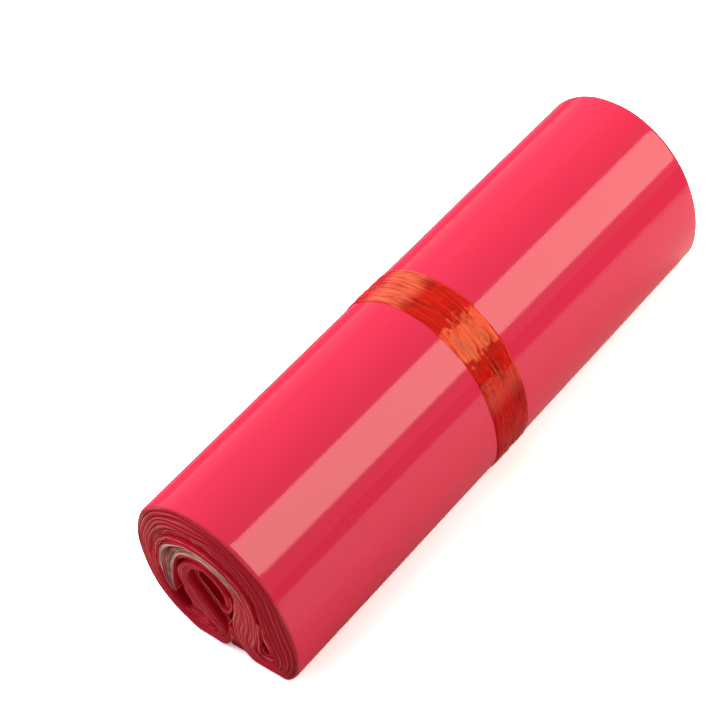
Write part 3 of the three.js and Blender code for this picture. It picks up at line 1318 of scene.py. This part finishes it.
@dataclass
class WrapSheet:
    """A sheet around the roll's outer face, given by a height above that face at each place."""

    route: Route
    first: float
    last: float
    step: float

    def line(self) -> tuple[np.ndarray, np.ndarray, np.ndarray]:
        """The roll's outer face with its corners rounded.

        Returns:
            Its points, its unit normals and how far along each point lies.
        """
        places, _ = self.route.evenly(self.first, self.last, 0.5)
        points = self.route.face(places, 0.0)
        for _ in range(10):
            points[1:-1] = points[1:-1] * 0.5 + (points[:-2] + points[2:]) * 0.25
        run = run_along(points)
        steps = np.linspace(0.0, run[-1], round(run[-1] / self.step) + 1)
        points = respaced(points, run, steps)
        points[:, 1] = np.maximum(points[:, 1], 0.0)
        return points, unit_normals(np.gradient(points, axis=0)), steps

    def shell(
        self,
        lengths: np.ndarray,
        lift: Callable[[np.ndarray, float, np.ndarray], np.ndarray],
        reach: Callable[[np.ndarray, float], np.ndarray],
        thickness: float,
    ) -> bmesh.types.BMesh:
        """A closed thin sheet that follows the roll's outer face.

        Args:
            lengths: Where its columns lie along the roll, in millimetres.
            lift: The height of its outer side, from run, length and up.
            reach: Where a column really lies, from run and length.
            thickness: How thick it is.

        Returns:
            The mesh.
        """
        points, normals, run = self.line()
        rows, columns = len(run) - 1, len(lengths) - 1
        heights = [lift(run, float(x), points[:, 1]) for x in lengths]
        ends = [reach(run, float(x)) for x in lengths]

        def place(row: int, column: int, depth: float) -> Vector:
            across, up = points[row] + normals[row] * (heights[column][row] - depth)
            return row_point(float(across), max(float(up), depth), float(ends[column][row]))

        mesh = bmesh.new()
        row_layer = mesh.verts.layers.int.new("row")
        column_layer = mesh.verts.layers.int.new("column")
        map_layer = mesh.loops.layers.uv.new(SECTION_MAP)
        grid = bmesh.ops.create_grid(mesh, x_segments=rows, y_segments=columns, size=0.5)
        for vert in grid["verts"]:
            row, column = round((vert.co.x + 0.5) * rows), round((vert.co.y + 0.5) * columns)
            vert[row_layer], vert[column_layer] = row, column
            vert.co = place(row, column, 0.0)
        outer = list(mesh.faces)
        grown = bmesh.ops.extrude_face_region(mesh, geom=outer, use_keep_orig=True)["geom"]
        for vert in parts_of(grown, bmesh.types.BMVert):
            vert.co = place(vert[row_layer], vert[column_layer], thickness)
        broad = set(outer) | set(parts_of(grown, bmesh.types.BMFace))
        bmesh.ops.recalc_face_normals(mesh, faces=list(mesh.faces))
        for face in mesh.faces:
            face.smooth = face in broad
            face.material_index = int(face not in broad)
            for loop in face.loops:
                loop[map_layer].uv = (run[loop.vert[row_layer]] * MM, loop.vert.co.x)
        crease(mesh)
        return mesh


@dataclass
class OuterBag:
    """The bag on the outside of the roll, whose smooth face is most of what shows."""

    route: Route
    first: float = 8.2
    last: float = 24.4
    row_step: float = 0.9
    thickness: float = 0.2
    column_step: float = 5.0
    # how far from the ends the film is rolled in, and how deep
    rolled: float = 1.4
    rolled_depth: float = 0.45
    # how far it waves, and how deep the tape presses it in near the floor
    sway: float = 0.05
    tied: tuple[float, float] = (-11.2, 11.8)
    tied_depth: float = 0.62
    seed: int = 3

    def build(self, film: bpy.types.Material, edge: bpy.types.Material) -> bpy.types.Object:
        """Makes the piece.

        Args:
            film: The finish of its faces.
            edge: The finish of its cut rims.

        Returns:
            The piece.
        """
        rng = np.random.default_rng(self.seed)
        along_roll, along_route = Drift(rng, 70.0, 260.0), Drift(rng, 50.0, 160.0)
        rim_near, rim_far = Drift(rng, 20.0, 120.0), Drift(rng, 20.0, 120.0)

        def lift(run: np.ndarray, length: float, up: np.ndarray) -> np.ndarray:
            sway = self.sway * (along_route(run + 0.25 * length) + along_roll(np.array(length)) - 1.2)
            inwards = max(abs(length) + self.rolled - FAR_END, 0.0)
            sway = sway - self.rolled_depth * inwards**2 / self.rolled**2
            tied = self.tied_depth * hump(np.array(length), *self.tied, 1.5)
            return np.minimum(sway, 0.0) - tied * (1.0 - smooth_share(up, 0.6, 3.0))

        def reach(run: np.ndarray, length: float) -> np.ndarray:
            near = smooth_share(-length, -NEAR_END - 6.0, -NEAR_END) * (0.25 + 0.2 * rim_near(run))
            far = smooth_share(length, FAR_END - 6.0, FAR_END) * (0.25 + 0.2 * rim_far(run))
            return length + np.maximum(near, 0.0) - np.maximum(far, 0.0)

        lengths = np.linspace(NEAR_END, FAR_END, round(ROLL_LENGTH / self.column_step) + 1)
        rims = FAR_END - self.rolled * np.array([1.0, 0.75, 0.5, 0.25])
        lengths = np.unique(np.concatenate([lengths, [-14.0, -12.5, -11.0, 11.5, 13.0, 14.5], rims, -rims]))
        wrap = WrapSheet(self.route, self.first, self.last, self.row_step)
        return new_object("outer_bag", wrap.shell(lengths, lift, reach, self.thickness), (film, edge))


@dataclass
class TieTape:
    """The band of wrinkled clear tape round the middle, and its free end stuck down over it."""

    route: Route
    near: float = -10.7
    width: float = 22.0
    first: float = 9.3
    last: float = 23.2
    row_step: float = 0.85
    column_step: float = 0.42
    thickness: float = 0.16
    # how far it stands off the film where it is stuck, how high its wrinkles are, and which ones they are
    stuck: float = 0.1
    wrinkle: float = 0.5
    seed: float = 1.7
    lap_width: float = 11.0
    lap_first: float = 18.3
    lap_last: float = 20.75
    lap_row_step: float = 0.7
    lap_seed: float = 8.3

    @staticmethod
    def crumple(run: np.ndarray, length: float, seed: float) -> np.ndarray:
        """The height of the tape's wrinkles, which fan out along the tape and pucker across it.

        Args:
            run: Places round the roll, in millimetres.
            length: The place across the tape.
            seed: Which tape it is.

        Returns:
            A height for each place, of about 0 to 1.
        """
        heights = []
        for place in run:
            slant = length + 1.8 * math.sin(place / 17.0 + seed) + 0.8 * math.sin(place / 7.3 + 2.0 * seed)
            patch = 0.75 + 1.1 * noise.noise(Vector((place * 0.1, slant * 0.17, seed + 2.0)))
            fold = noise.noise(Vector((place * 0.055, slant * 0.6, seed)))
            fine = noise.noise(Vector((place * 0.14, slant * 1.4, seed + 5.0)))
            pucker = noise.noise(Vector((place * 0.45, slant * 0.42, seed + 9.0)))
            heights.append(0.4 + patch * (0.9 * (0.4 - abs(fold)) + 0.35 * fine) + 0.34 * pucker)
        return np.array(heights)

    def edge_share(self, length: float, width: float) -> float:
        """How far a place is from the tape's two stuck edges, eased over 1.2 mm."""
        inside = min(length - self.near, self.near + width - length)
        return float(smooth_share(inside, 0.0, 1.2))

    def columns(self, width: float) -> np.ndarray:
        """Where the columns of a tape of this width lie along the roll."""
        return np.linspace(self.near, self.near + width, round(width / self.column_step) + 1)

    def band(self, tape: bpy.types.Material) -> bpy.types.Object:
        """Makes the band from the tape's finish."""
        far = self.near + self.width

        def lift(run: np.ndarray, length: float, up: np.ndarray) -> np.ndarray:
            free = smooth_share(up, 0.3, 5.0) * self.edge_share(length, self.width)
            return self.stuck + self.wrinkle * free * self.crumple(run, length, self.seed)

        def reach(run: np.ndarray, length: float) -> np.ndarray:
            near_side = 1.0 - smooth_share(length, self.near, self.near + 3.0)
            far_side = smooth_share(length, far - 3.0, far)
            wave = 0.2 * np.sin(run / 9.0) + 0.12 * np.sin(run / 3.7 + 1.0) + 0.08 * np.sin(run / 1.7)
            return length + near_side * (0.3 + wave) - far_side * (0.3 + np.flip(wave))

        wrap = WrapSheet(self.route, self.first, self.last, self.row_step)
        mesh = wrap.shell(self.columns(self.width), lift, reach, self.thickness)
        return new_object("tape_band", mesh, (tape, tape))

    def free_end(self, tape: bpy.types.Material) -> bpy.types.Object:
        """Makes the free end from its finish."""

        def lift(run: np.ndarray, length: float, up: np.ndarray) -> np.ndarray:
            band = self.edge_share(length, self.width) * self.crumple(run, length, self.seed)
            edge = self.edge_share(length, self.lap_width)
            lifted = 0.14 * edge * self.crumple(run, length, self.lap_seed)
            tip = 1.0 - smooth_share(run, 0.0, 2.5)
            return self.stuck + self.wrinkle * band + 0.12 + lifted + 0.25 * tip * (1.0 - 0.5 * edge)

        def reach(run: np.ndarray, length: float) -> np.ndarray:
            share = (length - self.near) / self.lap_width
            corner = 1.0 - 0.45 * np.maximum(1.0 - run / 3.2, 0.0) ** 2
            ragged = 0.5 * np.sin(run / 6.0) + 0.35 * np.sin(run / 2.6) - 0.04 * run
            return self.near + (length - self.near) * corner + share * ragged + 0.3 * (1.0 - share)

        wrap = WrapSheet(self.route, self.lap_first, self.lap_last, self.lap_row_step)
        mesh = wrap.shell(self.columns(self.lap_width), lift, reach, self.thickness)
        return new_object("tape_free_end", mesh, (tape, tape))


# The studio


@dataclass(frozen=True)
class PhotoCamera:
    """The camera at the photograph's viewing angle."""

    azimuth: float = -40.7
    elevation: float = 44.0
    roll: float = -14.0
    distance: float = 0.908314
    across: float = -0.030545
    above: float = 0.003166
    target: Triple = (0.0, -0.0004, 0.0394)
    lens: float = 107.483
    sensor: float = 36.0

    def build(self) -> bpy.types.Object:
        """Makes the camera and hands it to the scene."""
        a, e, turn = (math.radians(x) for x in (self.azimuth, self.elevation, self.roll))
        back = Vector((math.sin(a) * math.cos(e), -math.cos(a) * math.cos(e), math.sin(e)))
        level = Vector((math.cos(a), math.sin(a), 0.0))
        upright = back.cross(level)
        right = math.cos(turn) * level + math.sin(turn) * upright
        up = -math.sin(turn) * level + math.cos(turn) * upright
        place = Vector(self.target) + self.distance * back + self.across * right + self.above * up
        data = bpy.data.cameras.new("photo_camera")
        data.lens, data.sensor_width = self.lens, self.sensor
        data.clip_start, data.clip_end = 0.05, 50.0
        camera = bpy.data.objects.new("photo_camera", data)
        turned = Matrix((right, up, back)).transposed().to_4x4()
        camera.matrix_world = Matrix.Translation(place) @ turned
        bpy.context.scene.collection.objects.link(camera)
        bpy.context.scene.camera = camera
        return camera


@dataclass(frozen=True)
class Softbox:
    """A rectangular lamp, given by its middle and two of its edges' directions."""

    name: str
    middle: Triple
    side: Triple
    rise: Triple
    width: float
    height: float
    radiance: float
    colour: Colour
    mirrored: bool = False

    def build(self) -> bpy.types.Object:
        """Makes the lamp, facing the side that side x rise points away from."""
        data = bpy.data.lights.new(self.name, "AREA")
        data.shape = "RECTANGLE"
        data.size, data.size_y = self.width, self.height
        data.color = self.colour
        data.energy = self.radiance * math.pi * self.width * self.height
        lamp = bpy.data.objects.new(self.name, data)
        side = Vector(self.side).normalized()
        rise = (Vector(self.rise) - side * side.dot(Vector(self.rise))).normalized()
        turned = Matrix((side, rise, side.cross(rise))).transposed().to_4x4()
        lamp.matrix_world = Matrix.Translation(Vector(self.middle)) @ turned
        lamp.visible_camera = False
        lamp.visible_glossy = self.mirrored
        bpy.context.scene.collection.objects.link(lamp)
        return lamp


@dataclass(frozen=True)
class Studio:
    """Plain soft light from the upper left, one softbox on the right, and a white table."""

    brightest: Triple = (-0.15, 0.87, 0.5)
    dim: float = 0.1
    bright: float = 1.04
    mirrored: float = 0.34
    horizon: float = 0.2
    table_size: float = 3.0
    lamps: tuple[Softbox, ...] = (
        Softbox(
            name="softbox",
            middle=(0.706, -0.914, 0.727),
            side=(0.724, -0.128, -0.142),
            rise=(0.0, 0.499, 0.629),
            width=1.3,
            height=0.803,
            radiance=3.5,
            colour=(1.0, 0.96, 0.78),
            mirrored=True,
        ),
        Softbox(
            name="side_light",
            middle=(-0.02, 1.10, 0.90),
            side=(-1.0, 0.0, 0.0),
            rise=(0.0, -0.62, 0.79),
            width=0.8,
            height=1.0,
            radiance=3.5,
            colour=(1.0, 0.97, 0.95),
        ),
        Softbox(
            name="far_light",
            middle=(0.45, 0.28, 0.42),
            side=(-0.55, 0.80, 0.0),
            rise=(-0.55, -0.40, 0.75),
            width=0.3,
            height=0.3,
            radiance=4.2,
            colour=(1.0, 0.98, 0.96),
        ),
        Softbox(
            name="low_light",
            middle=(0.50, -0.50, 0.16),
            side=(0.74, 0.67, 0.0),
            rise=(0.0, 0.0, 1.0),
            width=0.4,
            height=0.2,
            radiance=1.2,
            colour=(1.0, 0.98, 0.96),
        ),
        Softbox(
            name="end_light",
            middle=(-1.30, 0.05, 0.30),
            side=(0.0, -1.0, 0.0),
            rise=(0.2, 0.0, 1.0),
            width=0.9,
            height=0.6,
            radiance=2.2,
            colour=(1.0, 0.96, 0.94),
        ),
    )

    def world(self) -> None:
        """Makes the world: white behind everything, and soft light that is strongest from the upper left."""
        world = bpy.data.worlds.new("studio")
        world.use_nodes = True
        bpy.context.scene.world = world
        sketch = Sketch(world.node_tree)
        direction = sketch.add("ShaderNodeTexCoord").outputs["Generated"]
        share = sketch.add(
            "ShaderNodeMapRange",
            {"interpolation_type": "SMOOTHSTEP"},
            Value=sketch.towards(direction, Vector(self.brightest).normalized()),
            From_Min=0.05,
            From_Max=0.95,
            To_Min=self.dim,
            To_Max=self.bright,
        )
        rays = sketch.add("ShaderNodeLightPath")
        soft = sketch.signal(share, "Result")
        seen, glossy = (sketch.signal(rays, kind) for kind in ("Is Camera Ray", "Is Glossy Ray"))
        side, height = sketch.axes(direction, "YZ")
        mirror = (1.0 - height * 2.2).clamped() * (side * 4.0 + 0.5).clamped() * self.horizon + self.mirrored
        strength = seen + (1.0 - seen) * (glossy * mirror + (1.0 - glossy) * soft)
        white = (1.0, 1.0, 1.0, 1.0)
        background = sketch.add("ShaderNodeBackground", Color=white, Strength=strength)
        sketch.add("ShaderNodeOutputWorld", None, background.outputs[0])

    def table(self, finish: FloorFinish) -> bpy.types.Object:
        """Makes the table from its finish."""
        mesh = bmesh.new()
        bmesh.ops.create_grid(mesh, x_segments=1, y_segments=1, size=self.table_size)
        made = new_object("table", mesh, (finish.material(),))
        return made

    def build(self) -> None:
        """Makes the lights and the table."""
        self.world()
        for lamp in self.lamps:
            lamp.build()
        self.table(FloorFinish())


def main() -> None:
    """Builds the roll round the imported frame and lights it."""
    logging.basicConfig(level=logging.INFO, format="%(name)s: %(message)s")
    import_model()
    bpy.context.scene.view_settings.view_transform = "Standard"
    PhotoCamera().build()
    Studio().build()

    route = Route()
    pocket = LinerPocket(route)
    film, inner, edge = FilmFinish().material(), InnerFilmFinish().material(), CutEdgeFinish().material()
    liner_edge = LINER_EDGES.material()
    install(OuterBag(route).build(film, edge), Slot.FILM, "bag_roll")
    install(BagStack(route, pocket).build(inner, edge), Slot.FILM, "bag_roll")
    install(SlackSheets(route).build(inner, edge), Slot.FILM, "bag_roll")
    install(pocket.build(SHADED_LINER_FACES.material(), liner_edge), Slot.LINER, "release_liners")
    tie = TieTape(route)
    install(tie.band(TapeFinish().material()), Slot.TAPE, "tie_tape")
    install(tie.free_end(FREE_END.material()), Slot.TAPE, "tie_tape")


if __name__ == "__main__":
    main()
